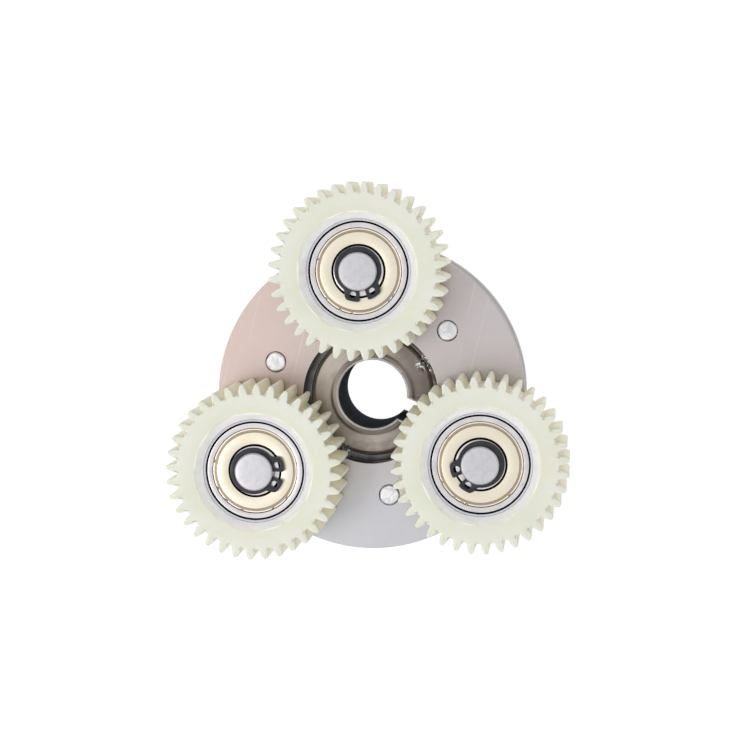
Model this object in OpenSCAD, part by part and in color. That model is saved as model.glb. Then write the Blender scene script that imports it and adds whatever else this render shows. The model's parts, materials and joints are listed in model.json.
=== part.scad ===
// Planetary gear set of a geared hub motor: a keyed hub, a one-way roller
// clutch whose outer part is the planet carrier, and three planet gears that
// turn on ball bearings.
// Origin: the axis of the hub's bore at the hub's back face, where the set
// stands. +Z points to the planet gears and the first planet is on +Y.

/* [Hub] */
// Radius of the bore for the motor's fixed axle
bore_r = 7.5; // [7:0.1:8]
// Length of the hub along the axle
hub_len = 18; // [17:0.5:20]
// Radius of the hub's flat face
hub_face_r = 12.6; // [12:0.1:12.8]
// Radius of the journals that run in the bushes
journal_r = 13.3; // [13:0.1:13.5]
// Radius of the hardened track that the rollers grip
race_r = 14.2; // [13.9:0.1:14.3]
// Width of the keyway
key_w = 5; // [4:0.5:6]
// Depth of the keyway outside the bore
key_depth = 2.2; // [1.8:0.1:2.5]
// Direction of the keyway, degrees from +X
key_angle = -27.3; // [-60:0.1:60]

/* [Carrier] */
// Outer radius of the plates and of the cam ring
carrier_r = 33.2; // [32.6:0.1:36]
// Thickness of each plate
plate_t = 3; // [2.5:0.5:4]
// Thickness of the cam ring between the plates
cam_t = 9; // [8:0.5:10]
// Radius of the opening in each plate
opening_r = 14.65; // [14.6:0.05:15]
// How far the front plate stands above the hub's face
hub_recess = 4; // [3:0.5:4.5]
// Radius of the rivets
rivet_r = 2.25; // [2:0.05:2.4]
// Radius of the circle that the rivets sit on
rivet_orbit_r = 21.85; // [21.5:0.05:22.5]
// Direction of the first rivet, degrees from +X
rivet_angle = 38.3; // [30:0.1:45]
// Height of a rivet's head above a plate
rivet_proud = 0.35; // [0.2:0.05:0.6]

/* [Clutch] */
// Number of locking rollers
roller_count = 6; // [5:1:6]
// Radius of a roller
roller_r = 2; // [1.8:0.1:2]
// Slope of the cam's ramps, degrees
ramp_angle = 6; // [4:1:8]
// Thickness of the springs' strip
spring_t = 0.2; // [0.15:0.05:0.25]
// Length of a bush along the axle
bush_len = 2.2; // [2:0.1:2.5]
// How far the front bush lies below the hub's face
bush_drop = 0.4; // [0.2:0.1:0.6]

/* [Planets] */
// Distance of the planets' axes from the hub's axis
orbit_r = 27.5; // [27:0.1:27.6]
// Gear module
gear_module = 0.98; // [0.95:0.01:1]
// Teeth on each planet gear
gear_teeth = 36; // [35:1:37]
// Pressure angle of the teeth, degrees
pressure_angle = 20; // [18:0.5:22]
// Height of the toothed rim above the front plate
gear_lift = 1; // [0.6:0.1:1.5]
// Width of the toothed rim
gear_w = 14.4; // [14:0.1:14.6]
// Outer radius of the pressed cone that holds the bearing
collar_r = 12.4; // [12:0.1:13]
// Depth of the bearing's face below the rim's face
bearing_drop = 2.5; // [2.2:0.1:2.6]

/* [Bearings] */
// Radius of the bearing's bore and of the planet pins
pin_r = 4; // [3.95:0.01:4]
// Outer radius of the bearing
bearing_r = 11; // [10.9:0.05:11]
// Width of the bearing
bearing_w = 7; // [6.8:0.1:7]
// Number of balls
ball_count = 7; // [6:1:8]
// Radius of a ball
ball_r = 1.985; // [1.9:0.005:1.985]
// Radius of the circle that the balls run on
ball_orbit_r = 7.5; // [7.4:0.05:7.6]

/* [Pins and clips] */
// Height of a pin's tip above the front plate
pin_proud = 15; // [14.5:0.1:16]
// Thickness of a retaining ring
clip_t = 0.8; // [0.7:0.05:0.8]
// Width of a retaining ring opposite its gap
clip_w = 1.35; // [1.2:0.05:1.5]
// Outer radius of a retaining ring's ears
ear_r = 6.35; // [6:0.05:6.6]

/* [Hidden] */
$fn = 96;
PLANETS = [1, 2, 3];
PLANET_PARTS = ["pin", "spacer", "inner_ring", "circlip", "gear", "outer_ring", "front_shield",
                "back_shield", "balls", "ball_cage"];

// Heights from the hub's back face
front_z = hub_len + hub_recess;                  // face of the front plate
cam_top_z = front_z - plate_t;
cam_z = cam_top_z - cam_t;
back_z = cam_z - plate_t;                        // face of the back plate
front_bush_z = hub_len - bush_drop - bush_len;
back_bush_z = cam_z - bush_len - 0.3;
gear_z = front_z + gear_lift;
rim_z = gear_z + gear_w;                         // face of the toothed rim
bearing_top_z = rim_z - bearing_drop;
lip_h = 0.3;                                     // height of the cone's foot above the bearing
cone_z = bearing_top_z + lip_h;
bearing_z = bearing_top_z - bearing_w;
bearing_mid_z = bearing_z + bearing_w / 2;
clip_z = bearing_top_z;
pin_tip_z = front_z + pin_proud;

// Clearances
running = 0.04;                                  // between a journal and its bush
end_play = 0.1;                                  // between the hub's track and a bush
roll_gap = 0.06;                                 // between a roller and the hub's track
ball_gap = 0.12;                                 // between a ball and its tracks
through = 1;                                     // how far a cutter passes a face

chamfer = 0.4;                                   // on the edges of the turned parts
shoulder_drop = 0.9;                             // of the cone outside the hub's face
land_r = 9;                                      // raised land around the bore
land_h = 0.15;

// Clutch
roller_orbit_r = race_r + roller_r + roll_gap;
pocket_h = front_bush_z - cam_z;                 // the back plate closes the pockets
roller_len = pocket_h - 2 * end_play;
ramp_r = roller_orbit_r + roller_r + roll_gap;   // of the ramp above a roller's centre
pocket_half_w = roller_r + 0.3;
spring_room = 3.4;                               // length of the space beside a roller
spring_roof_r = ramp_r - 0.4;                    // of the flat above a spring
spring_h = 1.7;                                  // height of a spring's folds
spring_w = roller_len - 0.6;
spring_folds = 4;
pocket_start = rivet_angle - 180 / roller_count; // keeps the pockets off the rivets

// Teeth
pitch_r = gear_module * gear_teeth / 2;
base_r = pitch_r * cos(pressure_angle);
tip_r = pitch_r + gear_module;
root_r = pitch_r - 1.25 * gear_module;
backlash = 0.12;                                 // degrees off each side of a tooth
flank_steps = 5;
tooth_angle = [3.1, 5.1, 2];                     // of one tooth's centre on each planet

// Bearing
groove_r = ball_r + ball_gap;                    // section of the ball tracks
inner_land_r = 6.1;
outer_land_r = 8.9;
inner_face_r = 5.25;
seat_r = 9.3;                                    // of a shield in the outer ring
seat_depth = 0.9;
shield_bore_r = 5.6;
shield_flat_r = 8.1;
shield_t = 0.3;
cage_t = 1;
cage_w = 4.8;
pocket_gap = 0.08;                               // between a ball and its pocket
gear_bore_r = 9.5;                               // below the bearing
lip_r = bearing_r - 0.5;                         // the cone's foot reaches over the bearing's edge

// Retaining ring
clip_groove_r = pin_r - 0.2;
clip_groove_w = clip_t + 0.1;
clip_seat_r = clip_groove_r + 0.03;             // inner radius of the retaining ring
clip_side_w = 0.85;                              // width of the ring beside its ears
gap_half = 8.5;                                  // degrees from the gap's centre
ear_end = 33;
ear_root = 52;
ear_hole = 24;
ear_hole_r = 0.7;
ear_hole_orbit_r = 4.98;
clip_gap_angle = [-81, -11, -147];               // of the gap's centre on each planet

// Degrees between the involute's start and the point at radius r
function involute(r) =
    let (a = acos(min(1, base_r / r))) tan(a) * 180 / PI - a;
// Half the angle that a tooth spans at radius r
function tooth_half(r) =
    90 / gear_teeth - backlash + involute(pitch_r) - involute(max(r, base_r));
function flank_r(k) = base_r + (tip_r - base_r) * k / flank_steps;
function polar(r, a) = [r * cos(a), r * sin(a)];
// Outline of one tooth whose centre is at angle a
function tooth(a) = concat(
    [polar(root_r, a - tooth_half(base_r))],
    [for (k = [0:flank_steps]) polar(flank_r(k), a - tooth_half(flank_r(k)))],
    [for (k = [flank_steps:-1:0]) polar(flank_r(k), a + tooth_half(flank_r(k)))],
    [polar(root_r, a + tooth_half(base_r))]);

// Outer radius of a retaining ring at a degrees from its gap
function clip_r(a) =
    a <= ear_end ? ear_r
    : let (ring_r = clip_groove_r + clip_side_w + (clip_w - clip_side_w) * (1 - cos(a)) / 2)
      a < ear_root ? ear_r + (ring_r - ear_r) * (a - ear_end) / (ear_root - ear_end)
      : ring_r;

function planet_angle(i) = 90 + 120 * (i - 1);
function planet_node(i, part) = str("planet_", i, "_", part);

module at_planet(i) {
    translate(concat(polar(orbit_r, planet_angle(i)), [0])) children();
}

// Solid of revolution between two heights, with a chamfer c at each end
module turned(r, z0, z1, c = 0) {
    rotate_extrude()
        polygon([[0, z0], [r - c, z0], [r, z0 + c], [r, z1 - c], [r - c, z1], [0, z1]]);
}

module hole(r, z0, z1) {
    translate([0, 0, z0]) cylinder(r = r, h = z1 - z0);
}

module ring(r_in, r_out, z0, z1, c = 0) {
    difference() {
        turned(r_out, z0, z1, c);
        hole(r_in, z0 - through, z1 + through);
    }
}

// What stands at every rivet and every planet pin
module at_rivets() {
    for (k = [0:2]) rotate(rivet_angle + 120 * k) translate([rivet_orbit_r, 0, 0]) children();
}

module at_rollers() {
    for (k = [0:roller_count - 1])
        rotate(pocket_start + k * 360 / roller_count - 90) children();
}

module fastener_holes(z0, z1) {
    at_rivets() hole(rivet_r, z0 - through, z1 + through);
    for (i = PLANETS) at_planet(i) hole(pin_r, z0 - through, z1 + through);
}

// Clutch

module hub() {
    race_z0 = back_bush_z + bush_len + end_play;
    race_z1 = front_bush_z - end_play;
    color("#8d8580") difference() {
        rotate_extrude() polygon([
            [0, 0], [hub_face_r - chamfer, 0], [hub_face_r, chamfer],
            [hub_face_r, back_bush_z - shoulder_drop], [journal_r, back_bush_z],
            [journal_r, race_z0], [race_r, race_z0], [race_r, race_z1],
            [journal_r, race_z1], [journal_r, hub_len - shoulder_drop], [hub_face_r, hub_len],
            [land_r, hub_len], [land_r - land_h, hub_len + land_h], [0, hub_len + land_h]]);
        hole(bore_r, -through, hub_len + through);
        translate([0, 0, hub_len - chamfer])
            cylinder(r1 = bore_r, r2 = bore_r + 2 * chamfer, h = 2 * chamfer);
        rotate(key_angle) translate([0, -key_w / 2, -through])
            cube([bore_r + key_depth, key_w, hub_len + 2 * through]);
    }
}

module plate(z0) {
    difference() {
        turned(carrier_r, z0, z0 + plate_t, 0.3);
        hole(opening_r, z0 - through, z0 + plate_t + through);
        fastener_holes(z0, z0 + plate_t);
    }
}

module front_plate() {
    color("#b5abae") plate(cam_top_z);
}

module back_plate() {
    color("#b5abae") plate(back_z);
}

// Space for one roller and its spring, with a ramp that closes towards +X
module pocket_outline() {
    rise = pocket_half_w * tan(ramp_angle);
    spring_end = -pocket_half_w - spring_room;
    polygon([[pocket_half_w, 0], [pocket_half_w, ramp_r - rise], [-pocket_half_w, ramp_r + rise],
             [-pocket_half_w, spring_roof_r], [spring_end, spring_roof_r], [spring_end, 0]]);
}

module cam_ring() {
    color("#a39c9b") difference() {
        turned(carrier_r, cam_z, cam_top_z);
        hole(race_r + 0.3, cam_z - through, cam_top_z + through);
        hole(opening_r, front_bush_z, cam_top_z + through);
        translate([0, 0, cam_z - through]) linear_extrude(pocket_h + through)
            at_rollers() pocket_outline();
        fastener_holes(cam_z, cam_top_z);
    }
}

module bush(z0) {
    color("#7f8186") ring(journal_r + running, opening_r, z0, z0 + bush_len, 0.2);
}

module front_bush() {
    bush(front_bush_z);
}

module back_bush() {
    bush(back_bush_z);
}

module clutch_rollers() {
    color("silver") at_rollers() translate([0, roller_orbit_r, 0])
        turned(roller_r, cam_z + end_play, cam_z + end_play + roller_len, 0.3);
}

// Folded strip that pushes a roller towards the narrow end of its pocket
module spring_outline() {
    near_x = -roller_r - 0.15;
    far_x = -pocket_half_w - spring_room + 0.1;
    pitch = (far_x - near_x) / spring_folds;
    strip_h = spring_t / cos(atan(spring_h / pitch));
    function fold(k, lift) =
        [near_x + k * pitch, roller_orbit_r + lift + (k % 2 == 0 ? -0.5 : 0.5) * spring_h];
    polygon(concat([for (k = [0:spring_folds]) fold(k, 0)],
                   [for (k = [spring_folds:-1:0]) fold(k, strip_h)]));
}

module roller_springs() {
    color("dimgray") translate([0, 0, cam_z + 0.4]) linear_extrude(spring_w)
        at_rollers() spring_outline();
}

module rivets() {
    color("gainsboro") at_rivets()
        turned(rivet_r, back_z - rivet_proud, front_z + rivet_proud, 0.3);
}

// Planets

module pin(i) {
    color("#c9c7cf") at_planet(i) difference() {
        turned(pin_r, back_z, pin_tip_z, 0.25);
        ring(clip_groove_r, pin_r + through, clip_z, clip_z + clip_groove_w);
    }
}

module spacer(i) {
    color("#a8a6a8") at_planet(i) ring(pin_r, inner_face_r, front_z, bearing_z, 0.2);
}

module ball_track() {
    translate([0, 0, bearing_mid_z]) rotate_extrude()
        translate([ball_orbit_r, 0]) circle(r = groove_r, $fn = 48);
}

module inner_ring(i) {
    color("#d5d4d6") at_planet(i) difference() {
        union() {
            ring(pin_r, inner_face_r, bearing_z, bearing_top_z, 0.15);
            ring(pin_r, inner_land_r, bearing_z + 1.1, bearing_top_z - 1.1);
        }
        ball_track();
    }
}

module outer_ring(i) {
    color("#c9c8cc") at_planet(i) difference() {
        ring(outer_land_r, bearing_r, bearing_z, bearing_top_z, chamfer);
        hole(seat_r, bearing_z - through, bearing_z + seat_depth);
        hole(seat_r, bearing_top_z - seat_depth, bearing_top_z + through);
        ball_track();
    }
}

// Half section of a dished shield whose face is at height 0
module shield_section() {
    lip_r = seat_r - 0.45;
    polygon([[shield_bore_r, -shield_t], [shield_flat_r, -shield_t], [lip_r - 0.3, -0.25 - shield_t],
             [lip_r, -0.25 - shield_t], [seat_r, -0.25 - shield_t], [seat_r, -0.1], [lip_r, -0.1],
             [lip_r - 0.3, -0.25], [shield_flat_r, 0], [shield_bore_r, 0]]);
}

module front_shield(i) {
    color("#ddd2b8") at_planet(i) translate([0, 0, bearing_top_z - 0.15])
        rotate_extrude() shield_section();
}

module back_shield(i) {
    color("#ddd2b8") at_planet(i) translate([0, 0, bearing_z + 0.15])
        rotate_extrude() mirror([0, 1]) shield_section();
}

module at_balls() {
    for (k = [0:ball_count - 1])
        rotate(k * 360 / ball_count) translate([ball_orbit_r, 0, bearing_mid_z]) children();
}

// Radial hole in the cage for one ball
module ball_pocket() {
    rotate([0, 90, 0]) cylinder(r = ball_r + pocket_gap, h = 4 * cage_t, center = true);
}

module balls(i) {
    color("silver") at_planet(i) at_balls() sphere(r = ball_r, $fn = 48);
}

module ball_cage(i) {
    color("#b8a878") at_planet(i) difference() {
        ring(ball_orbit_r - cage_t / 2, ball_orbit_r + cage_t / 2, bearing_mid_z - cage_w / 2,
             bearing_mid_z + cage_w / 2);
        at_balls() ball_pocket();
    }
}

module circlip(i) {
    gap = clip_gap_angle[i - 1];
    step = (180 - gap_half) / 28;
    turns = [for (k = [0:56]) gap_half + k * step];
    outer = [for (a = turns) polar(clip_r(min(a, 360 - a)), gap + a)];
    inner = [for (a = turns) polar(clip_seat_r, gap + a)];
    color("#2c2e33") at_planet(i) difference() {
        translate([0, 0, clip_z]) linear_extrude(clip_t)
            polygon(concat(outer, [for (k = [56:-1:0]) inner[k]]));
        for (side = [-1, 1])
            rotate(gap + side * ear_hole) translate([ear_hole_orbit_r, 0, 0])
                hole(ear_hole_r, clip_z - through, clip_z + clip_t + through);
    }
}

module gear(i) {
    color("#e6e7d6") at_planet(i) difference() {
        translate([0, 0, gear_z]) linear_extrude(gear_w)
            polygon([for (k = [0:gear_teeth - 1])
                each tooth(tooth_angle[i - 1] + k * 360 / gear_teeth)]);
        hole(gear_bore_r, gear_z - through, bearing_z + through);
        hole(bearing_r, bearing_z, bearing_top_z);
        hole(lip_r, bearing_top_z - through, cone_z + 0.1);
        translate([0, 0, cone_z])
            cylinder(r1 = lip_r, r2 = lip_r + (collar_r - lip_r) * (rim_z + through - cone_z)
                / (rim_z - cone_z), h = rim_z + through - cone_z);
    }
}

hub();
front_plate();
cam_ring();
back_plate();
front_bush();
back_bush();
clutch_rollers();
roller_springs();
rivets();
for (i = PLANETS) {
    pin(i);
    spacer(i);
    inner_ring(i);
    circlip(i);
    gear(i);
    outer_ring(i);
    front_shield(i);
    back_shield(i);
    balls(i);
    ball_cage(i);
}
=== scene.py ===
"""Looks of the planet carrier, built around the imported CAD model.

Every length is in millimetres and becomes metres when a mesh is made. Pieces of a planet are
built around the planet's own axis and placed there, so their materials can use the radius.
"""

import json
import math
import random

import bmesh
import bpy
import numpy as np
from mathutils import Matrix, Vector


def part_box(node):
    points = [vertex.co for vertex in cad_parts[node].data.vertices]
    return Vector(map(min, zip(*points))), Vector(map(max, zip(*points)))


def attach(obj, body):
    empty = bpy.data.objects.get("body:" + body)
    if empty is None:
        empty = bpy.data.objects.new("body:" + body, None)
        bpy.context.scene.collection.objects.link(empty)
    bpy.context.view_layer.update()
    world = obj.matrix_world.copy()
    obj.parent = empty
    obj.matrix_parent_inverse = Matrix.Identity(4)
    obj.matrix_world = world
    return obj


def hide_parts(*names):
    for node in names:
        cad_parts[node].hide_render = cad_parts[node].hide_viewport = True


MM = 0.001
PLANETS = (1, 2, 3)

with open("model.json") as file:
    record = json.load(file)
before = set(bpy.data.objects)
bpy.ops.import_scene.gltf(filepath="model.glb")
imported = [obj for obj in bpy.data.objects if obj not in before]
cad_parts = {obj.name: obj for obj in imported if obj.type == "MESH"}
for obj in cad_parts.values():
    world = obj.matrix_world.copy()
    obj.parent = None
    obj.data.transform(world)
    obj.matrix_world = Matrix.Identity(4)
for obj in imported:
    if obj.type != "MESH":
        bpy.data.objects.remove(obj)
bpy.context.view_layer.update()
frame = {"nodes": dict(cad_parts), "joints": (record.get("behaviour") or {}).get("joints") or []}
joints = {j["name"]: j for j in frame["joints"]}


def node_box(node):
    """Lowest and highest corners of a CAD node, in mm."""
    low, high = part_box(node)
    return np.array(low) / MM, np.array(high) / MM


def bottom(node):
    return node_box(node)[0][2]


def top(node):
    return node_box(node)[1][2]


# ---------------------------------------------------------------- sizes

FRONT_Z, BACK_Z = top("front_plate"), bottom("back_plate")
CAM_TOP_Z, CAM_Z = bottom("front_plate"), top("back_plate")
HUB_Z0, HUB_Z1 = bottom("hub"), top("hub")
CARRIER_R = node_box("front_plate")[1][0]
OPENING_R = 14.65
PIN_R, RIVET_R = 4.0, 2.25
RIVET_ORBIT, RIVET_ANGLE = 21.85, 38.3

BORE_R, KEY_W, KEY_DEPTH, KEY_ANGLE = 7.5, 5.0, 2.2, -27.3
LAND_R, LAND_H = 9.0, 0.15
FACE_R, JOURNAL_R, RACE_R = 12.6, 13.3, 14.2

GEAR_Z0, RIM_Z = bottom("planet_1_gear"), top("planet_1_gear")
BEARING_Z0, BEARING_Z1 = bottom("planet_1_outer_ring"), top("planet_1_outer_ring")
TEETH, TIP_R, ROOT_R, PITCH_R = 36, 18.62, 16.415, 17.64
BASE_R = PITCH_R * math.cos(math.radians(20))
TOOTH_ANGLE, TOOTH_PLAY = {1: 3.1, 2: 5.1, 3: 2.0}, 0.12
CONE_R, LIP_R, POCKET_R, GEAR_BORE_R = 12.4, 10.5, 11.0, 9.5

BALL_ORBIT_R, TRACK_R = 7.5, 2.1
INNER_RING_R, INNER_LAND_R, OUTER_LAND_R = 5.25, 6.1, 8.9

CLIP_GAP = {1: -81, 2: -11, 3: -147}
CLIP_Z, CLIP_T = bottom("planet_1_circlip"), 0.8
CLIP_SEAT_R, CLIP_GROOVE_R, CLIP_GROOVE_W = 3.83, 3.8, 0.9
CLIP_SIDE_W, CLIP_EXTRA_W = 0.85, 0.5
EAR_R, EAR_START, EAR_SIDE, EAR_END, EAR_ROOT = 6.35, 8.5, 14, 33, 52
EAR_HOLE_R, EAR_HOLE_ORBIT, EAR_HOLE_ANGLE = 0.7, 4.98, 24


# ---------------------------------------------------------------- outlines and meshes

def polar(r, degrees):
    a = math.radians(degrees)
    return r * math.cos(a), r * math.sin(a)


def rounded(points, radii, steps=4, closed=True):
    """The polygon with its corners rounded. radii is one radius, or one for each point."""
    points = [np.array(p[:2], float) for p in points]
    n = len(points)
    radii = [radii] * n if np.isscalar(radii) else list(radii)
    out = []
    for k, (p, r) in enumerate(zip(points, radii)):
        a, b = points[k - 1], points[(k + 1) % n]
        if r <= 0 or (not closed and k in (0, n - 1)):
            out.append(p)
            continue
        la, lb = np.linalg.norm(a - p), np.linalg.norm(b - p)
        u, v = (a - p) / la, (b - p) / lb
        half = math.acos(max(-1.0, min(1.0, float(u @ v)))) / 2
        if half > math.pi / 2 - 0.01:
            out += [p] * (steps + 1)
            continue
        cut = min(r / math.tan(half), 0.48 * la, 0.48 * lb)
        r = cut * math.tan(half)
        centre = p + (u + v) / np.linalg.norm(u + v) * r / math.sin(half)
        start, end, sweep = p + u * cut - centre, p + v * cut - centre, math.pi - 2 * half
        for s in range(steps + 1):
            t = s / steps
            out.append(centre + (start * math.sin((1 - t) * sweep) + end * math.sin(t * sweep))
                       / math.sin(sweep))
    return np.array(out)


def inset(loop, distance):
    """A counter-clockwise closed outline moved inwards."""
    along = np.roll(loop, -1, 0) - np.roll(loop, 1, 0)
    inward = np.stack([-along[:, 1], along[:, 0]], 1)
    return loop + inward / np.linalg.norm(inward, axis=1, keepdims=True) * distance


def circle(r, count, start=0.0):
    a = start + np.arange(count) * 2 * math.pi / count
    return np.stack([r * np.cos(a), r * np.sin(a)], 1)


def at_height(loop, z):
    return np.column_stack([loop, np.broadcast_to(z, len(loop))])


def cleaned(mesh):
    """Welds a mesh given in mm, turns its faces outwards and scales it to metres."""
    made = bmesh.new()
    made.from_mesh(mesh)
    bmesh.ops.remove_doubles(made, verts=made.verts, dist=0.0004)
    bmesh.ops.dissolve_degenerate(made, edges=made.edges, dist=0.0004)
    bmesh.ops.recalc_face_normals(made, faces=made.faces)
    made.to_mesh(mesh)
    made.free()
    mesh.transform(Matrix.Scale(MM, 4))
    return mesh


def skin(name, rings, closed=True):
    """Surface through rings of points, each ring joined to the next one."""
    rings = np.asarray(rings, float)
    m, n = rings.shape[:2]
    index = np.arange(m * n).reshape(m, n)
    faces = []
    for k in range(m if closed else m - 1):
        a, b = index[k], index[(k + 1) % m]
        faces.append(np.stack([a, np.roll(a, -1), np.roll(b, -1), b], 1))
    mesh = bpy.data.meshes.new(name)
    mesh.from_pydata(rings.reshape(-1, 3).tolist(), [], np.concatenate(faces).tolist())
    return cleaned(mesh)


def lathe(name, profile, count=192, closed=True, fillet=0.1, shape=None):
    """Solid of revolution. A profile point is (r, z) or (r, z, fillet). shape changes r and z by
    the angle. A profile that isn't closed starts and ends on the axis."""
    radii = [p[2] if len(p) > 2 else fillet for p in profile]
    section = rounded(profile, radii, 3, closed)
    a = np.arange(count) * 2 * math.pi / count
    rings = []
    for r, z in section:
        rr, zz = np.full(count, r), np.full(count, z)
        if shape:
            rr, zz = shape(rr, zz, a)
        rings.append(np.stack([rr * np.cos(a), rr * np.sin(a), zz], 1))
    return skin(name, rings, closed)


def extruded(name, loops, z0, z1, bevel):
    """Flat outline with holes between two heights, with all its edges rounded."""
    curve = bpy.data.curves.new(name, "CURVE")
    curve.dimensions, curve.fill_mode = "2D", "BOTH"
    curve.extrude = (z1 - z0) / 2 - bevel
    curve.bevel_depth, curve.offset, curve.bevel_resolution = bevel, -bevel, 2
    for k, loop in enumerate(loops):
        loop = loop if k == 0 else loop[::-1]
        spline = curve.splines.new("POLY")
        spline.points.add(len(loop) - 1)
        flat = np.column_stack([loop, np.zeros(len(loop)), np.ones(len(loop))])
        spline.points.foreach_set("co", flat.astype(np.float32).ravel())
        spline.use_cyclic_u = True
    holder = bpy.data.objects.new(name, curve)
    bpy.context.scene.collection.objects.link(holder)
    bpy.context.view_layer.update()
    mesh = bpy.data.meshes.new_from_object(
        holder.evaluated_get(bpy.context.evaluated_depsgraph_get()))
    bpy.data.objects.remove(holder)
    mesh.transform(Matrix.Translation((0, 0, (z0 + z1) / 2)))
    mesh.name = name
    return cleaned(mesh)


def piece(name, mesh, body, slot, nodes, at=(0, 0)):
    """Puts a mesh in the scene as a piece of the object, with the look of its slot."""
    obj = bpy.data.objects.new(name, mesh)
    bpy.context.scene.collection.objects.link(obj)
    obj.location = (at[0] * MM, at[1] * MM, 0)
    mesh.polygons.foreach_set("use_smooth", [True] * len(mesh.polygons))
    mesh.set_sharp_from_angle(angle=math.radians(48))
    weighted = obj.modifiers.new("normals", "WEIGHTED_NORMAL")
    weighted.keep_sharp, weighted.weight = True, 80
    mesh.materials.clear()
    mesh.materials.append(LOOKS[slot])
    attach(obj, body)
    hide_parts(*nodes)
    return obj


# ---------------------------------------------------------------- materials

def srgb(r, g, b):
    """Linear colour of an 8-bit screen colour."""
    return tuple((c / 255 / 12.92 if c < 10.3 else ((c / 255 + 0.055) / 1.055) ** 2.4)
                 for c in (r, g, b)) + (1.0,)


class Look:
    """A Principled material whose colour, roughness and bump are built up step by step."""

    def __init__(self, name, metallic=0.0, **constants):
        self.material = bpy.data.materials.new(name)
        self.material.use_nodes = True
        self.tree = self.material.node_tree
        self.shader = self.tree.nodes["Principled BSDF"]
        self.shader.inputs["Metallic"].default_value = metallic
        for key, value in constants.items():
            self.shader.inputs[key.replace("_", " ").title().replace("Ior", "IOR")].default_value = value
        self.coords = self.node("ShaderNodeTexCoord").outputs["Object"]
        self.normal = None

    def node(self, kind, _props=None, **inputs):
        made = self.tree.nodes.new(kind)
        for key, value in (_props or {}).items():
            setattr(made, key, value)
        for key, value in inputs.items():
            self.feed(made.inputs[int(key[1:]) if key[1:].isdigit() else key.replace("_", " ")], value)
        return made

    def feed(self, socket, value):
        if isinstance(value, bpy.types.NodeSocket):
            self.tree.links.new(value, socket)
        else:
            socket.default_value = value

    def math(self, operation, a, b):
        return self.node("ShaderNodeMath", {"operation": operation}, i0=a, i1=b).outputs[0]

    def stretched(self, scale, turn):
        """Coordinates turned by degrees about each axis and then scaled."""
        turned = self.node("ShaderNodeMapping", Vector=self.coords,
                           Rotation=[math.radians(t) for t in turn]).outputs[0]
        return self.node("ShaderNodeMapping", Vector=turned, Scale=scale).outputs[0]

    def near(self, x, y, size):
        """1 within half of size mm of the place x, y, falling to 0 at size mm."""
        off = self.node("ShaderNodeVectorMath", {"operation": "SUBTRACT"}, i0=self.coords,
                        i1=(x * MM, y * MM, 0)).outputs[0]
        flat = self.node("ShaderNodeVectorMath", {"operation": "MULTIPLY"}, i0=off,
                         i1=(1, 1, 0)).outputs[0]
        far = self.node("ShaderNodeVectorMath", {"operation": "LENGTH"}, i0=flat).outputs[1]
        return self.between(far, size * MM, size * MM / 2)

    def noise(self, size, detail=3.0, rough=0.55, vector=None, distortion=0.0):
        """Noise whose features are about size mm wide, from 0 to 1."""
        return self.node("ShaderNodeTexNoise", {"noise_dimensions": "3D"}, Vector=vector or self.coords,
                         Scale=1 / (size * MM), Detail=detail, Roughness=rough,
                         Distortion=distortion).outputs[0]

    def between(self, value, low, high, a=0.0, b=1.0):
        """value going from low to high, as a smooth change from a to b."""
        return self.node("ShaderNodeMapRange", {"interpolation_type": "SMOOTHSTEP"}, Value=value,
                         From_Min=low, From_Max=high, To_Min=a, To_Max=b).outputs[0]

    def radius(self):
        """Distance from the object's Z axis, in mm."""
        flat = self.node("ShaderNodeVectorMath", {"operation": "MULTIPLY"}, i0=self.coords,
                         i1=(1000, 1000, 0)).outputs[0]
        return self.node("ShaderNodeVectorMath", {"operation": "LENGTH"}, i0=flat).outputs["Value"]

    def around(self, size, along=0.0):
        """Noise that follows circles about the Z axis: size mm across them."""
        r = self.math("MULTIPLY", self.radius(), MM)
        z = self.node("ShaderNodeSeparateXYZ", i0=self.coords).outputs[2]
        flow = self.node("ShaderNodeCombineXYZ", i0=r, i1=z, i2=0.0).outputs[0]
        if along:
            extra = self.node("ShaderNodeVectorMath", {"operation": "SCALE"}, i0=self.coords,
                              Scale=along).outputs[0]
            flow = self.node("ShaderNodeVectorMath", {"operation": "ADD"}, i0=flow,
                             i1=extra).outputs[0]
        return self.noise(size, 4, 0.7, flow)

    def mix(self, factor, a, b):
        made = self.node("ShaderNodeMix", {"data_type": "RGBA"})
        self.feed(made.inputs[0], factor)
        self.feed(made.inputs[6], a)
        self.feed(made.inputs[7], b)
        return made.outputs[2]

    def colour(self, value):
        self.feed(self.shader.inputs["Base Color"], value)
        return self

    def roughness(self, value):
        self.feed(self.shader.inputs["Roughness"], value)
        return self

    def bump(self, height, depth):
        """Adds relief depth mm deep."""
        made = self.node("ShaderNodeBump", Height=height, Strength=1.0, Distance=depth * MM)
        if self.normal:
            self.feed(made.inputs["Normal"], self.normal)
        self.normal = made.outputs[0]
        self.feed(self.shader.inputs["Normal"], self.normal)
        return self


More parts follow.
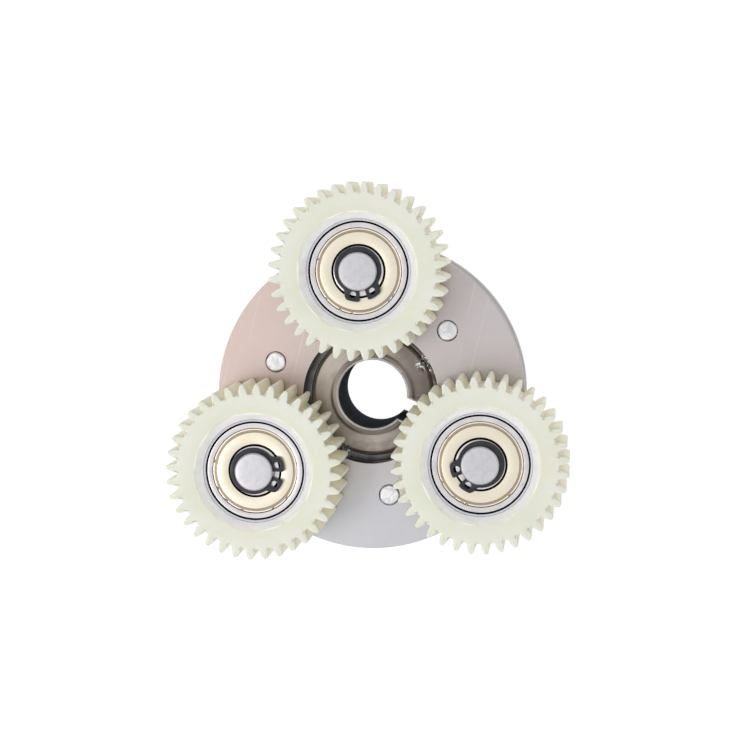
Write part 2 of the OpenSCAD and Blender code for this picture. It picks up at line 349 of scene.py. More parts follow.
def nylon_look():
    look = Look("nylon", Roughness=0.42, Subsurface_Weight=0.6, Subsurface_Scale=0.0015,
                Subsurface_Radius=(1.0, 0.9, 0.6))
    r = look.radius()
    z = look.node("ShaderNodeSeparateXYZ", i0=look.coords).outputs[2]
    cloudy = look.between(look.noise(7, 3), 0.35, 0.7)
    body = look.mix(cloudy, srgb(228, 229, 219), srgb(224, 226, 211))
    specks = look.between(look.noise(1.2, 5), 0.45, 0.75)
    body = look.mix(look.math("MULTIPLY", specks, 0.2), body, srgb(222, 221, 200))
    # painted shade: the face is coloured darker and yellower towards the cone
    inwards = look.math("MULTIPLY", look.between(r, 14.6, 12.6), 0.5)
    body = look.mix(inwards, body, srgb(222, 222, 200))
    # painted light: the tooth flanks below the face are coloured brighter and warmer than the face
    deep = look.math("MULTIPLY", look.between(r, 15.6, 16.4),
                     look.between(z, (RIM_Z - 0.1) * MM, (RIM_Z - 5) * MM))
    body = look.mix(deep, body, srgb(253, 246, 226))
    # the cone is coloured whiter than the rim: partly its own tone, partly painted light against the shade
    # of its steep slope
    cone = look.math("MULTIPLY", look.between(r, 12.7, 12.4), look.between(r, 10.8, 10.95))
    white = look.mix(look.between(look.noise(1.6, 4), 0.4, 0.7), srgb(253, 252, 246),
                     srgb(243, 243, 236))
    body = look.mix(cone, body, white)
    # painted shade: the lip at the foot of the cone is coloured grey-violet, darker towards its outer edge
    foot = look.math("MULTIPLY", look.between(r, 11.02, 10.96),
                     look.between(z, (BEARING_Z1 - 0.1) * MM, BEARING_Z1 * MM))
    lip_shade = look.mix(look.between(r, 10.84, 10.9), srgb(226, 225, 230), srgb(165, 164, 171))
    body = look.mix(foot, body, lip_shade)
    look.colour(body)
    look.roughness(look.between(look.noise(3, 4), 0.3, 0.7, 0.36, 0.52))
    return look.bump(look.noise(0.5, 4), 0.012).bump(look.noise(5, 2), 0.03).material


def plate_look():
    look = Look("plate_steel", metallic=0.92)
    place = look.node("ShaderNodeSeparateXYZ", i0=look.coords)
    x, y = place.outputs[0], place.outputs[1]
    # painted reflection: the plate is coloured warmer to the left and cooler towards the bottom
    warm_reflection = look.between(x, 0.008, -0.026)
    cool_reflection = look.between(y, 0.0, -0.03)
    tint = look.mix(warm_reflection, srgb(196, 189, 190), srgb(202, 184, 178))
    tint = look.mix(cool_reflection, tint, srgb(196, 197, 202))
    wide = look.noise(0.35, 3, 0.6, look.stretched((0.06, 1, 1), (0, 0, 62)))
    cross = look.noise(0.3, 3, 0.6, look.stretched((0.08, 1, 1), (0, 0, -20)))
    grain = look.math("MULTIPLY", look.math("ADD", wide, cross), 0.5)
    tint = look.mix(look.between(grain, 0.35, 0.65), tint, look.mix(0.02, tint, (0.2, 0.18, 0.18, 1)))
    blotch = look.between(look.noise(6, 4), 0.4, 0.75)
    tint = look.mix(look.math("MULTIPLY", blotch, 0.12), tint, srgb(176, 166, 166))
    scratch = look.between(look.noise(0.9, 2, 0.5, look.stretched((0.02, 1, 1), (0, 0, 106))),
                           0.665, 0.71)
    tint = look.mix(look.math("MULTIPLY", scratch, 0.2), tint, srgb(226, 222, 222))
    # painted shade: the opening's wall is coloured near black on its left side
    wall = look.math("MULTIPLY", look.between(look.radius(), OPENING_R + 0.06, OPENING_R + 0.01),
                     look.between(x, 0.004, -0.002))
    look.colour(look.mix(wall, tint, srgb(24, 22, 24)))
    look.roughness(look.between(grain, 0.3, 0.7, 0.34, 0.42))
    return look.bump(grain, 0.0006).bump(scratch, 0.002).material


def side_look():
    look = Look("cam_steel", metallic=0.92)
    lines = look.around(0.5, 0.02)
    tone = look.mix(look.between(lines, 0.35, 0.7), srgb(176, 170, 170), srgb(140, 133, 133))
    tone = look.mix(look.between(look.noise(5, 4), 0.5, 0.8), tone, srgb(122, 110, 104))
    look.colour(tone)
    look.roughness(look.between(lines, 0.3, 0.7, 0.34, 0.5))
    return look.bump(lines, 0.008).material


def grease_and_glints(look, tone):
    """Two spots of grease on tone: dark grains of grease, and near-white glints in them as painted
    highlights.
    """
    spots = look.math("MAXIMUM", look.near(11.7, 6.2, 2.6), look.near(-6.6, -12.0, 1.8))
    grains = look.noise(0.55, 3, 0.7)
    black = look.math("MULTIPLY", spots, look.between(grains, 0.47, 0.4))
    tone = look.mix(look.math("MULTIPLY", black, 0.85), tone, srgb(30, 28, 30))
    # painted highlight: glints coloured near white
    painted_glint = look.math("MULTIPLY", spots, look.between(grains, 0.54, 0.6))
    return look.mix(painted_glint, tone, srgb(236, 244, 248))


def hub_look():
    look = Look("hub_steel", metallic=0.9)
    r = look.radius()
    x = look.node("ShaderNodeSeparateXYZ", i0=look.coords).outputs[0]
    lines = look.around(0.35, 0.03)
    blotch = look.noise(3.5, 5, 0.6)
    tone = look.mix(look.between(blotch, 0.35, 0.7), srgb(186, 177, 170), srgb(156, 146, 140))
    tone = look.mix(look.math("MULTIPLY", look.between(lines, 0.4, 0.7), 0.4), tone, srgb(124, 114, 110))
    scuff = look.between(look.noise(0.8, 4, 0.7, look.stretched((0.12, 1, 1), (0, 0, 35))), 0.6, 0.72)
    tone = look.mix(look.math("MULTIPLY", scuff, 0.4), tone, srgb(204, 198, 194))
    # painted reflection: a ring just outside the land is coloured lighter and the land darker
    outside = look.math("MULTIPLY", look.between(r, 8.95, 9.02), look.between(r, 11.6, 9.6))
    tone = look.mix(look.math("MULTIPLY", outside, 0.3), tone, srgb(206, 198, 188))
    land = look.between(r, 9.02, 8.96)
    tone = look.mix(look.math("MULTIPLY", land, 0.85), tone, srgb(118, 109, 104))
    # painted shade on the right side (+x), painted light on the left side
    tone = look.mix(look.math("MULTIPLY", look.between(x, 0.0, 0.01), 0.85), tone, srgb(118, 109, 103))
    tone = look.mix(look.math("MULTIPLY", look.between(x, -0.004, -0.01), 0.5), tone, srgb(214, 203, 190))
    tone = grease_and_glints(look, tone)
    look.colour(tone)
    look.roughness(look.between(blotch, 0.3, 0.7, 0.3, 0.48))
    return look.bump(lines, 0.01).bump(blotch, 0.02).material


def steel_look(name, light, dark, rough, ring=0.0, size=2.0, relief=0.004):
    """Plain steel with clouded tone and, with ring, turned marks of that width."""
    look = Look(name, metallic=0.95)
    cloud = look.noise(size, 4, 0.6)
    tone = look.mix(look.between(cloud, 0.35, 0.68), srgb(*light), srgb(*dark))
    marks = look.around(ring, 0.02) if ring else look.noise(0.3, 3)
    tone = look.mix(look.math("MULTIPLY", look.between(marks, 0.45, 0.7), 0.25), tone, srgb(*dark))
    look.colour(tone)
    look.roughness(look.between(cloud, 0.3, 0.7, rough - 0.06, rough + 0.08))
    look.bump(marks, relief)
    return look, tone


def steel(*args, **kwargs):
    """The material of a steel_look."""
    return steel_look(*args, **kwargs)[0].material


def bearing_look():
    look, tone = steel_look("bearing_steel", (226, 222, 222), (204, 200, 201), 0.26, ring=0.25)
    r = look.radius()
    # painted shade: the crevice at the outer ring's edge and the bearing's inside are coloured near black
    dark = look.math("MAXIMUM", look.between(r, 10.1, 10.15),
                     look.math("MULTIPLY", look.between(r, 5.2, 5.24), look.between(r, 8.9, 8.0)))
    look.colour(look.mix(dark, tone, srgb(12, 12, 16)))
    return look.material


def shield_look():
    look, tone = steel_look("shield_steel", (232, 225, 209), (226, 217, 197), 0.36, size=3,
                            relief=0.002)
    r = look.radius()
    # painted shade: the shield's slope is coloured darker and browner
    slope_shade = look.math("MULTIPLY", look.between(r, 8.14, 8.24), look.between(r, 8.62, 8.52))
    tone = look.mix(look.math("MULTIPLY", slope_shade, 0.95), tone, srgb(168, 151, 130))
    # painted highlight: the crimped rim is coloured lighter
    rim = look.between(r, 8.58, 8.66)
    tone = look.mix(rim, tone, srgb(240, 234, 222))
    # painted shade: the shield's edges at the gaps beside both rings are coloured near black
    dark = look.math("MAXIMUM", look.between(r, 8.96, 9.0), look.between(r, 5.72, 5.66))
    tone = look.mix(dark, tone, srgb(20, 18, 18))
    look.colour(tone)
    return look.material


def pin_look():
    look = Look("pin_steel", metallic=0.93)
    swirl = look.noise(2.2, 4, 0.55, distortion=1.6)
    tone = look.mix(look.between(swirl, 0.35, 0.7), srgb(204, 203, 208), srgb(192, 191, 196))
    look.colour(tone)
    look.roughness(look.between(swirl, 0.3, 0.7, 0.32, 0.42))
    return look.bump(swirl, 0.004).bump(look.noise(0.25, 3), 0.003).material


def bush_look():
    look, tone = steel_look("bush_steel", (128, 127, 133), (108, 105, 108), 0.46, ring=0.3)
    x = look.node("ShaderNodeSeparateXYZ", i0=look.coords).outputs[0]
    # darker and browner towards +x, mottled
    brown_mottle = look.between(look.noise(1.6, 4), 0.35, 0.6)
    brown = look.mix(brown_mottle, srgb(126, 116, 108), srgb(92, 84, 80))
    look.colour(grease_and_glints(look, look.mix(look.between(x, -0.002, 0.006), tone, brown)))
    return look.material


def rivet_look():
    look = Look("rivet_steel", metallic=0.85)
    cloud = look.noise(1.3, 5, 0.6, distortion=1.0)
    tone = look.mix(look.between(cloud, 0.38, 0.62), srgb(240, 240, 244), srgb(212, 212, 218))
    look.colour(tone)
    look.roughness(look.between(cloud, 0.3, 0.7, 0.34, 0.5))
    return look.bump(cloud, 0.025).material


def clip_look():
    look = Look("clip_steel", metallic=0.35)
    cloud = look.noise(1.5, 4)
    look.colour(look.mix(look.between(cloud, 0.35, 0.7), srgb(50, 51, 58), srgb(32, 33, 38)))
    look.roughness(look.between(cloud, 0.3, 0.7, 0.28, 0.42))
    return look.bump(look.noise(0.35, 3), 0.006).material


def bore_look():
    # painted shade: the bore's wall is coloured dark grey with no specular, so it reads as shade
    look = Look("bore_steel", metallic=0.0, Specular_IOR_Level=0.0, IOR=1.05)
    lines = look.around(0.4, 0.02)
    look.colour(look.mix(look.between(lines, 0.35, 0.7), srgb(84, 87, 94), srgb(64, 66, 73)))
    look.roughness(look.between(lines, 0.3, 0.7, 0.5, 0.7))
    return look.bump(lines, 0.01).material


def edge_look():
    # painted highlight: the bore's chamfer is coloured near white and barely metallic, so it reads as a
    # bright ring; the nicks are wear
    look = Look("edge_steel", metallic=0.25)
    nicks = look.between(look.noise(0.6, 4), 0.62, 0.75)
    look.colour(look.mix(look.math("MULTIPLY", nicks, 0.5), srgb(252, 252, 250), srgb(170, 164, 158)))
    look.roughness(look.between(nicks, 0.0, 1.0, 0.3, 0.5))
    return look.material


LOOKS = {
    "bore_steel": bore_look(),
    "edge_steel": edge_look(),
    "nylon": nylon_look(),
    "plate_steel": plate_look(),
    "cam_steel": side_look(),
    "hub_steel": hub_look(),
    "bearing_steel": bearing_look(),
    "shield_steel": shield_look(),
    "pin_steel": pin_look(),
    "rivet_steel": rivet_look(),
    "clip_steel": clip_look(),
    "bush_steel": bush_look(),
    "spacer_steel": steel("spacer_steel", (186, 184, 186), (150, 148, 150), 0.34, ring=0.4),
    "cage_steel": steel("cage_steel", (196, 178, 136), (160, 142, 104), 0.36),
    "spring_steel": steel("spring_steel", (120, 120, 126), (84, 84, 90), 0.3),
    "roller_steel": steel("roller_steel", (226, 226, 232), (200, 200, 206), 0.16, ring=0.3),
}


# ---------------------------------------------------------------- carrier and hub

def rivet_places():
    """Centres of the rivets, in mm."""
    return [polar(RIVET_ORBIT, RIVET_ANGLE + 120 * k) for k in range(3)]


def planet_place(i):
    """Axis of a planet, in mm."""
    pos = joints[f"planet_{i}_spin"]["pos_m"]
    return pos[0] / MM, pos[1] / MM


def moved(loop, place):
    return loop + np.array(place)


def plate(name, z0, z1):
    """Carrier plate with its opening and the holes of the rivets and pins."""
    loops = [circle(CARRIER_R, 288), circle(OPENING_R, 192)]
    loops += [moved(circle(RIVET_R, 48), p) for p in rivet_places()]
    loops += [moved(circle(PIN_R, 64), planet_place(i)) for i in PLANETS]
    mesh = extruded(name, loops, z0, z1, 0.12)
    piece(name, mesh, "carrier", "plate_steel", [name.replace("_piece", "")])


plate("front_plate_piece", CAM_TOP_Z, FRONT_Z)
plate("back_plate_piece", BACK_Z, CAM_Z)


def bush(node):
    """Ring between the hub's journal and a plate's opening."""
    inner, z0, z1 = JOURNAL_R + 0.04, bottom(node), top(node)
    mesh = lathe(node, [(inner, z0), (OPENING_R, z0), (OPENING_R, z1), (inner, z1)], fillet=0.22)
    piece(node + "_piece", mesh, "carrier", "bush_steel", [node])


bush("front_bush")
bush("back_bush")


def bore_outline():
    """Bore with its keyway, counter-clockwise."""
    half = math.degrees(math.asin(KEY_W / 2 / BORE_R))
    arc = [polar(BORE_R, KEY_ANGLE + a) for a in np.linspace(half, 360 - half, 150)]
    c, s = math.cos(math.radians(KEY_ANGLE)), math.sin(math.radians(KEY_ANGLE))

    def slot(x, y):
        return np.array([x * c - y * s, x * s + y * c])

    edge, far, w = BORE_R * math.cos(math.radians(half)), BORE_R + KEY_DEPTH, KEY_W / 2
    side = np.linspace(0, 1, 10)[1:-1]
    corner = rounded([slot(edge, -w), slot(far, -w), slot(far, w), slot(edge, w)], 0.25, 4, False)
    corner = list(corner[1:-1])  # without the two ends on the bore
    wall_a = [slot(edge + (far - 0.3 - edge) * t, -w) for t in side]
    wall_b = [slot(edge + (far - 0.3 - edge) * (1 - t), w) for t in side]
    floor = [slot(far, y) for y in np.linspace(-w + 0.35, w - 0.35, 9)]
    half_count = len(corner) // 2
    return np.array(arc + wall_a + corner[:half_count] + floor + corner[half_count:] + wall_b)


def hub():
    """Inner race of the clutch: turned outside, keyed bore inside."""
    outline = bore_outline()
    count, edge = len(outline), 0.4
    back_face, journal_z0 = bottom("back_bush") - 0.9, bottom("back_bush")
    race_z0, race_z1 = top("back_bush") + 0.1, bottom("front_bush") - 0.1
    journal_z1, face_z = top("front_bush") - 0.06, HUB_Z1 - LAND_H
    wide = inset(outline, -edge)
    reach, way = np.linalg.norm(wide, axis=1), wide / np.linalg.norm(wide, axis=1, keepdims=True)

    def face_ring(r, height):
        rr = np.maximum(r, reach)
        return np.column_stack([way * rr[:, None], height(rr)])

    def front(r):
        t = np.clip((r - LAND_R + 0.3) / 0.6, 0, 1)
        return HUB_Z1 + (face_z - HUB_Z1) * t * t * (3 - 2 * t)

    def back(r):
        return np.full(len(r), HUB_Z0)

    rings = [at_height(outline, HUB_Z0 + edge), at_height(outline, HUB_Z1 - edge)]
    for t in (0.35, 0.7):
        rings.append(at_height(inset(outline, -edge * t), HUB_Z1 - edge * (1 - t)))
    for r in (0, LAND_R - 0.3, LAND_R - 0.15, LAND_R, LAND_R + 0.15, LAND_R + 0.3, 9.7, 10.1, 11.2):
        rings.append(face_ring(r, front))
    side = rounded([(11.6, face_z), (FACE_R, face_z), (JOURNAL_R, journal_z1), (JOURNAL_R, race_z1),
                    (RACE_R, race_z1), (RACE_R, race_z0), (JOURNAL_R, race_z0),
                    (JOURNAL_R, journal_z0), (FACE_R, back_face), (FACE_R, HUB_Z0), (11.6, HUB_Z0)],
                   [0, 0.25, 0.2, 0.05, 0.15, 0.15, 0.05, 0.2, 0.1, 0.4, 0], 4, False)
    for r, z in side:
        rings.append(np.column_stack([way * r, np.full(count, z)]))
    rings.append(face_ring(10.2, back))
    rings.append(face_ring(0, back))
    mesh = skin("hub_piece", rings)
    obj = piece("hub_piece", mesh, "hub", "hub_steel", ["hub"])
    obj.data.materials.append(LOOKS["bore_steel"])
    obj.data.materials.append(LOOKS["edge_steel"])
    # the bore's wall gets the painted shade of bore_steel, its chamfers the painted highlight of
    # edge_steel
    for face in mesh.polygons:
        if face.center.xy.length < (BORE_R + KEY_DEPTH + 0.5) * MM:
            if abs(face.normal.z) < 0.1:
                face.material_index = 1
            elif 0.3 < face.normal.z < 0.9:
                face.material_index = 2


hub()


def rivets(name):
    """Three peened rivets in one mesh."""
    joined = bmesh.new()
    z0, z1 = bottom("rivets"), top("rivets")
    for k, (x, y) in enumerate(rivet_places()):
        rng = random.Random(40 + k)
        lean, turn = rng.uniform(0.02, 0.05), rng.uniform(0, 2 * math.pi)

        def dented(r, z, a):
            head = ((z > z1 - 0.4) | (z < z0 + 0.4)) & (r > 0.3)
            wave = 0.025 * np.cos(3 * a + turn) + 0.02 * np.cos(5 * a + 2 * turn)
            return np.where(head, r * (1 + wave * 0.8), r), z - head * lean * np.abs(np.sin(a + turn))

        upper = [(2.03, 0.5, 0.1), (2.2, 0.3, 0.15), (1.85, 0, 0.2), (1.2, 0.02, 0.4), (0, 0.05, 0.1)]
        profile = [(r, z0 + drop, fillet) for r, drop, fillet in upper[::-1]]
        profile += [(r, z1 - drop, fillet) for r, drop, fillet in upper]
        mesh = lathe("rivet", profile, 72, closed=False, shape=dented)
        mesh.transform(Matrix.Translation((x * MM, y * MM, 0)))
        joined.from_mesh(mesh)
        bpy.data.meshes.remove(mesh)
    mesh = bpy.data.meshes.new(name)
    joined.to_mesh(mesh)
    joined.free()
    piece(name, mesh, "carrier", "rivet_steel", ["rivets"])


rivets("rivets_piece")


# ---------------------------------------------------------------- planets

def involute(r):
    a = math.acos(min(1.0, BASE_R / r))
    return math.degrees(math.tan(a) - a)


def tooth_half(r):
    """Half the angle that a tooth spans at radius r, in degrees."""
    return 90 / TEETH - TOOTH_PLAY + involute(PITCH_R) - involute(max(r, BASE_R))


def gear_outline(phase):
    """Outline of a gear, with one tooth's centre at the angle phase."""
    points, radii = [], []
    flank = np.linspace(BASE_R + 0.35, TIP_R, 5)
    for k in range(TEETH):
        a = phase + k * 360 / TEETH
        for side in (-1, 1):
            run = [(ROOT_R, tooth_half(BASE_R) + 0.1, 0.34)]
            run += [(r, tooth_half(r), 0) for r in flank[:-1]]
            run += [(TIP_R, tooth_half(TIP_R), 0.26)]
            for r, half, fillet in run[::-side]:
                points.append(polar(r, a + side * half))
                radii.append(fillet)
    return rounded(points, radii, 4)


def gear(i):
    """Plastic gear with soft edges and an uneven pressed cone around the bearing."""
    rng = random.Random(7 * i + 3)
    outline = gear_outline(TOOTH_ANGLE[i])
    n = len(outline)
    start = math.atan2(outline[0][1], outline[0][0])
    angle = start + np.arange(n) * 2 * math.pi / n
    rings = []

    def ring(r, z):
        r, z = np.broadcast_to(r, n), np.broadcast_to(z, n)
        rings.append(np.stack([r * np.cos(angle), r * np.sin(angle), z], 1))

    edge, within_teeth = 0.3, 15.8
    ring(GEAR_BORE_R, GEAR_Z0 + edge)
    ring(GEAR_BORE_R + edge, GEAR_Z0)
    ring(within_teeth, GEAR_Z0)
    for k in range(5):
        a = math.radians(22.5 * k)
        rings.append(at_height(inset(outline, edge * (1 - math.sin(a))),
                               GEAR_Z0 + edge * (1 - math.cos(a))))
    for k in range(5):
        a = math.radians(22.5 * k)
        rings.append(at_height(inset(outline, edge * (1 - math.cos(a))),
                               RIM_Z - edge * (1 - math.sin(a))))
    for r, drop in ((within_teeth, 0), (15.2, 0.01), (14.5, 0.04), (13.8, 0.08), (13.2, 0.12)):
        ring(r, RIM_Z - drop)
    # the mouth of the cone is cut back by 13 short straight pieces
    rim = np.full(n, CONE_R + 0.1)
    for k in range(13):
        phi = 2 * math.pi * (k + rng.uniform(-0.4, 0.4)) / 13
        reach = rng.uniform(12.15, 12.45)
        c = np.cos(angle - phi)
        rim = np.minimum(rim, np.where(c > 0.85, reach / np.maximum(c, 0.85), 99))
    creases = [(rng.uniform(0, 2 * math.pi), rng.uniform(0.25, 0.8), rng.uniform(11.4, 12.0),
                rng.uniform(-0.5, 0.5), rng.uniform(0.04, 0.1)) for _ in range(9)]
    wobble = [(rng.randint(2, 7), rng.uniform(0, 6.28), rng.uniform(0.004, 0.014)) for _ in range(5)]
    inner, inner_z, mouth_z = 10.95, BEARING_Z1 + 0.34, RIM_Z - 0.3

    def height(r):
        t = (r - inner) / (rim - inner)
        z = inner_z + (mouth_z - inner_z) * np.clip(t, 0, 1)
        for m, phase, size in wobble:
            z = z + size * np.sin(m * angle + phase + 0.6 * r)
        for phi, width, at, tilt, depth in creases:
            off = (angle - phi + math.pi) % (2 * math.pi) - math.pi
            window = np.clip(1 - (off / width) ** 2, 0, 1)
            step = np.clip((r - (at + tilt * off)) / 0.16 + 0.5, 0, 1)
            z = z - depth * window * step * step * (3 - 2 * step)
        return z

    for outward, drop in ((0.3, 0.13), (0.16, 0.15), (0.06, 0.2)):
        ring(rim + outward, RIM_Z - drop)
    for t in np.linspace(0, 1, 11):
        r = rim * (1 - t) + inner * t
        ring(r, height(r))
    ring(inner - 0.08, inner_z - 0.05)
    ring(LIP_R + 0.06, BEARING_Z1 + 0.24)
    ring(LIP_R, BEARING_Z1 + 0.02)
    ring(LIP_R + 0.03, BEARING_Z1)
    ring(POCKET_R, BEARING_Z1)
    ring(POCKET_R, BEARING_Z0)
    ring(GEAR_BORE_R, BEARING_Z0)
    mesh = skin(f"planet_{i}_gear_piece", rings)
    at = planet_place(i)
    piece(f"planet_{i}_gear_piece", mesh, f"planet_{i}", "nylon", [f"planet_{i}_gear"], at)


def bearing(i):
    """Both rings and both shields of a bearing."""
    at = planet_place(i)
    body, z0, z1 = f"planet_{i}", BEARING_Z0, BEARING_Z1
    mid = (z0 + z1) / 2
    track = [(BALL_ORBIT_R + TRACK_R * math.cos(a), mid + TRACK_R * math.sin(a), 0)
             for a in np.linspace(-0.82, 0.82, 13)]
    half = [(OUTER_LAND_R, z1 - 0.95), (9.28, z1 - 0.95), (9.28, z1 - 0.42), (9.08, z1 - 0.3, 0.02),
            (9.08, z1, 0.05), (10.12, z1, 0.06), (POCKET_R - 0.01, z1 - 0.8, 0.1)]
    lower = [(r, 2 * mid - z, *f) for r, z, *f in half[::-1]]
    middle = [(OUTER_LAND_R, mid - 1.58, 0)] + track + [(OUTER_LAND_R, mid + 1.58, 0)]
    mesh = lathe(f"planet_{i}_outer_ring_piece", lower + middle + half, 240, fillet=0.03)
    piece(f"planet_{i}_outer_ring_piece", mesh, body, "bearing_steel", [f"planet_{i}_outer_ring"], at)

    groove = [(BALL_ORBIT_R - TRACK_R * math.cos(a), mid + TRACK_R * math.sin(a), 0)
              for a in np.linspace(-0.8, 0.8, 13)]
    foot = [(PIN_R, z0), (INNER_RING_R, z0), (INNER_RING_R, z0 + 0.7), (INNER_LAND_R, z0 + 0.7)]
    head = [(INNER_LAND_R, z1 - 0.7), (INNER_RING_R, z1 - 0.7), (INNER_RING_R, z1), (PIN_R, z1)]
    mesh = lathe(f"planet_{i}_inner_ring_piece", foot + groove + head, 144, fillet=0.1)
    piece(f"planet_{i}_inner_ring_piece", mesh, "carrier", "bearing_steel", [f"planet_{i}_inner_ring"], at)

    for side, node in ((1, "front_shield"), (-1, "back_shield")):
        rng = random.Random(90 + 10 * i + side)
        notches = [math.radians(rng.uniform(120, 330)) for _ in range(6)]

        def crimped(r, z, a):
            dent = np.zeros(len(a))
            for spot in notches:
                off = (a - spot + math.pi) % (2 * math.pi) - math.pi
                dent = np.maximum(dent, np.clip(1.6 - np.abs(off) / 0.022, 0, 1))
            outer = np.clip((r - 8.7) / 0.15, 0, 1)
            return r - 0.3 * dent * outer, z - side * 0.3 * dent * outer

        face = z1 if side > 0 else z0
        profile = [(9.22, 0.6, 0.03), (9.22, 0.42, 0.05), (9.0, 0.42, 0.05), (8.93, 0.2, 0.05),
                   (8.68, 0.2, 0.06), (8.5, 0.42, 0.08), (8.25, 0.42, 0.08), (8.1, 0.14, 0.07),
                   (5.62, 0.14, 0.07), (5.62, 0.42, 0.03), (7.95, 0.42, 0.05), (8.1, 0.68, 0.05)]
        mesh = lathe(f"planet_{i}_{node}_piece", [(r, face - side * d, f) for r, d, f in profile],
                     360, shape=crimped)
        piece(f"planet_{i}_{node}_piece", mesh, body, "shield_steel", [f"planet_{i}_{node}"], at)


def clip_outline(gap):
    """Retaining ring: wide opposite its gap, with two ears beside it."""
    def outer_r(a):
        if a <= EAR_END:
            return EAR_R
        ring_r = CLIP_SEAT_R + CLIP_SIDE_W + CLIP_EXTRA_W * (1 - math.cos(math.radians(a))) / 2
        if a < EAR_ROOT:
            t = (a - EAR_END) / (EAR_ROOT - EAR_END)
            return EAR_R + (ring_r - EAR_R) * t * t * (3 - 2 * t)
        return ring_r

    def ear_end(side):
        corner = [polar(r, gap + side * a) for r, a in
                  ((CLIP_SEAT_R, EAR_START), (EAR_R, EAR_START), (EAR_R, EAR_SIDE + 2))]
        return list(rounded(corner[::side], 0.35, 5, False)[1:-1])

    turns = np.linspace(EAR_START, 360 - EAR_START, 160)
    outside = [polar(outer_r(min(a, 360 - a)), gap + a) for a in turns
               if EAR_SIDE < a < 360 - EAR_SIDE]
    inside = [polar(CLIP_SEAT_R, gap + a) for a in turns[::-1]]
    return np.array(ear_end(1) + outside + ear_end(-1) + inside)


def planet_steel(i):
    """Pin, spacer and retaining ring of a planet."""
    at = planet_place(i)
    tip, z0 = top(f"planet_{i}_pin"), bottom(f"planet_{i}_pin")
    mesh = lathe(f"planet_{i}_pin_piece",
                 [(0, z0), (PIN_R, z0, 0.25), (PIN_R, CLIP_Z, 0.02), (CLIP_GROOVE_R, CLIP_Z, 0.02),
                  (CLIP_GROOVE_R, CLIP_Z + CLIP_GROOVE_W, 0.02), (PIN_R, CLIP_Z + CLIP_GROOVE_W, 0.02),
                  (PIN_R, tip - 0.24, 0.1), (PIN_R - 0.26, tip, 0.12), (2.2, tip, 0), (0, tip, 0)],
                 128, closed=False)
    piece(f"planet_{i}_pin_piece", mesh, "carrier", "pin_steel", [f"planet_{i}_pin"], at)
    z0, z1 = bottom(f"planet_{i}_spacer"), top(f"planet_{i}_spacer")
    mesh = lathe(f"planet_{i}_spacer_piece",
                 [(PIN_R, z0), (INNER_RING_R, z0), (INNER_RING_R, z1), (PIN_R, z1)], 128, fillet=0.2)
    piece(f"planet_{i}_spacer_piece", mesh, "carrier", "spacer_steel", [f"planet_{i}_spacer"], at)
    gap = CLIP_GAP[i]
    holes = [moved(circle(EAR_HOLE_R, 32), polar(EAR_HOLE_ORBIT, gap + s * EAR_HOLE_ANGLE))
             for s in (-1, 1)]
    mesh = extruded(f"planet_{i}_circlip_piece", [clip_outline(gap)] + holes, CLIP_Z,
                    CLIP_Z + CLIP_T, 0.09)
    piece(f"planet_{i}_circlip_piece", mesh, "carrier", "clip_steel", [f"planet_{i}_circlip"], at)


for i in PLANETS:
    gear(i)
    bearing(i)
    planet_steel(i)

# ---------------------------------------------------------------- CAD nodes that stay

KEPT = {"cam_ring": "cam_steel", "clutch_rollers": "roller_steel", "roller_springs": "spring_steel"}
for i in PLANETS:
    KEPT[f"planet_{i}_balls"] = "roller_steel"
    KEPT[f"planet_{i}_ball_cage"] = "cage_steel"
for node, look in KEPT.items():
    mesh = frame["nodes"][node].data
    mesh.materials.clear()
    mesh.materials.append(LOOKS[look])

# ---------------------------------------------------------------- stage, light, camera

scene = bpy.context.scene
scene.view_settings.view_transform = "Standard"
scene.view_settings.look = "None"


def floor():
    """White ground, brighter to the camera than to the object."""
    mesh = bpy.data.meshes.new("floor")
    made = bmesh.new()
    bmesh.ops.create_circle(made, cap_ends=True, radius=3, segments=96)
    made.to_mesh(mesh)
    made.free()
    obj = bpy.data.objects.new("floor", mesh)
    obj.location.z = HUB_Z0 * MM - 0.0002
    scene.collection.objects.link(obj)
    look = Look("floor")
    look.colour((0.03, 0.03, 0.03, 1)).roughness(1.0)
    seen = look.node("ShaderNodeLightPath").outputs["Is Camera Ray"]
    look.shader.inputs["Emission Color"].default_value = (1, 1, 1, 1)
    look.shader.inputs["Specular IOR Level"].default_value = 0
    look.feed(look.shader.inputs["Emission Strength"], look.between(seen, 0, 1, 0.8, 1.0))
    mesh.materials.append(look.material)


floor()


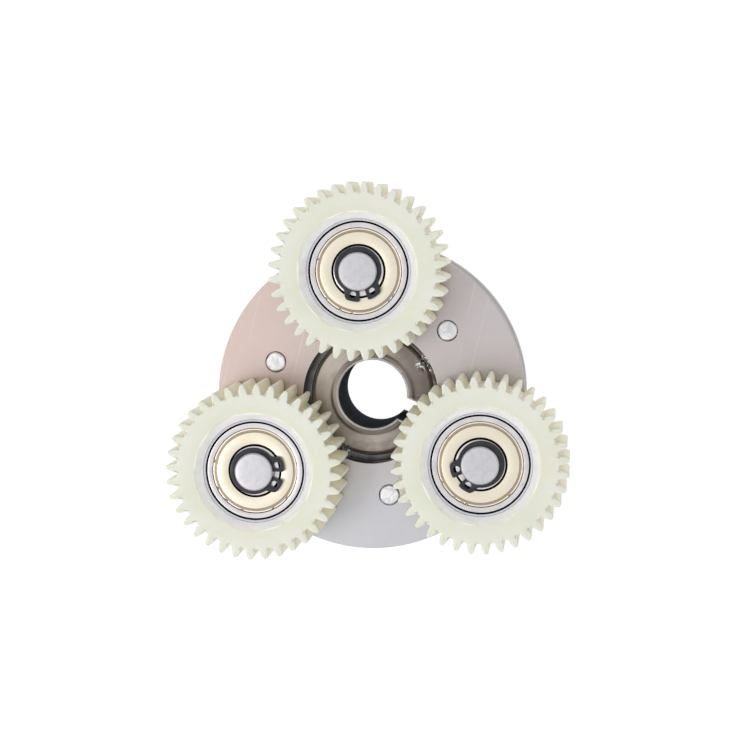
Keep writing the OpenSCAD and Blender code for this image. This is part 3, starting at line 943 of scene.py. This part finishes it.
def sky():
    """Studio light that grows with height, white to the camera."""
    world = bpy.data.worlds.new("studio")
    world.use_nodes = True
    tree = world.node_tree
    place = tree.nodes.new("ShaderNodeTexCoord").outputs["Generated"]
    parts = tree.nodes.new("ShaderNodeSeparateXYZ")
    tree.links.new(place, parts.inputs[0])
    rise = tree.nodes.new("ShaderNodeMapRange")
    rise.interpolation_type = "SMOOTHSTEP"
    for key, value in (("From Min", 0.0), ("From Max", 0.9), ("To Min", 0.45), ("To Max", 0.94)):
        rise.inputs[key].default_value = value
    tree.links.new(parts.outputs[2], rise.inputs["Value"])
    seen = tree.nodes.new("ShaderNodeLightPath").outputs["Is Camera Ray"]
    pale = tree.nodes.new("ShaderNodeMath")
    pale.operation = "MAXIMUM"
    tree.links.new(rise.outputs[0], pale.inputs[0])
    tree.links.new(seen, pale.inputs[1])
    tree.links.new(pale.outputs[0], tree.nodes["Background"].inputs["Strength"])
    tree.nodes["Background"].inputs["Color"].default_value = (1, 1, 1, 1)
    scene.world = world


sky()


def lamp(name, place, size, power, colour):
    """Round area light that points at the middle of the carrier."""
    light = bpy.data.lights.new(name, "AREA")
    light.shape, light.size, light.energy, light.color = "DISK", size, power, colour
    obj = bpy.data.objects.new(name, light)
    obj.location = place
    obj.rotation_euler = (Vector((0, 0, 0.02)) - Vector(place)).to_track_quat("-Z", "Y").to_euler()
    scene.collection.objects.link(obj)


lamp("key", (-0.42, -0.12, 0.6), 0.35, 1.2, (1.0, 0.98, 0.95))
lamp("fill", (0.45, -0.35, 0.5), 0.5, 0.3, (0.95, 0.97, 1.0))

camera = bpy.data.cameras.new("camera")
camera.sensor_width, camera.lens = 36.0, 93.925
view = bpy.data.objects.new("camera", camera)
# places in mm; the up vector holds the camera's roll
eye = Vector((46.72, 42.98, 439.36))
aim = Vector((1.142, 4.537, 22.0))
up = Vector((0.0325, 0.9949, -0.0952))
back = (eye - aim).normalized()
right = up.cross(back).normalized()
up = back.cross(right)
view.matrix_world = Matrix.Translation(eye * MM) @ Matrix((right, up, back)).transposed().to_4x4()
scene.collection.objects.link(view)
scene.camera = view
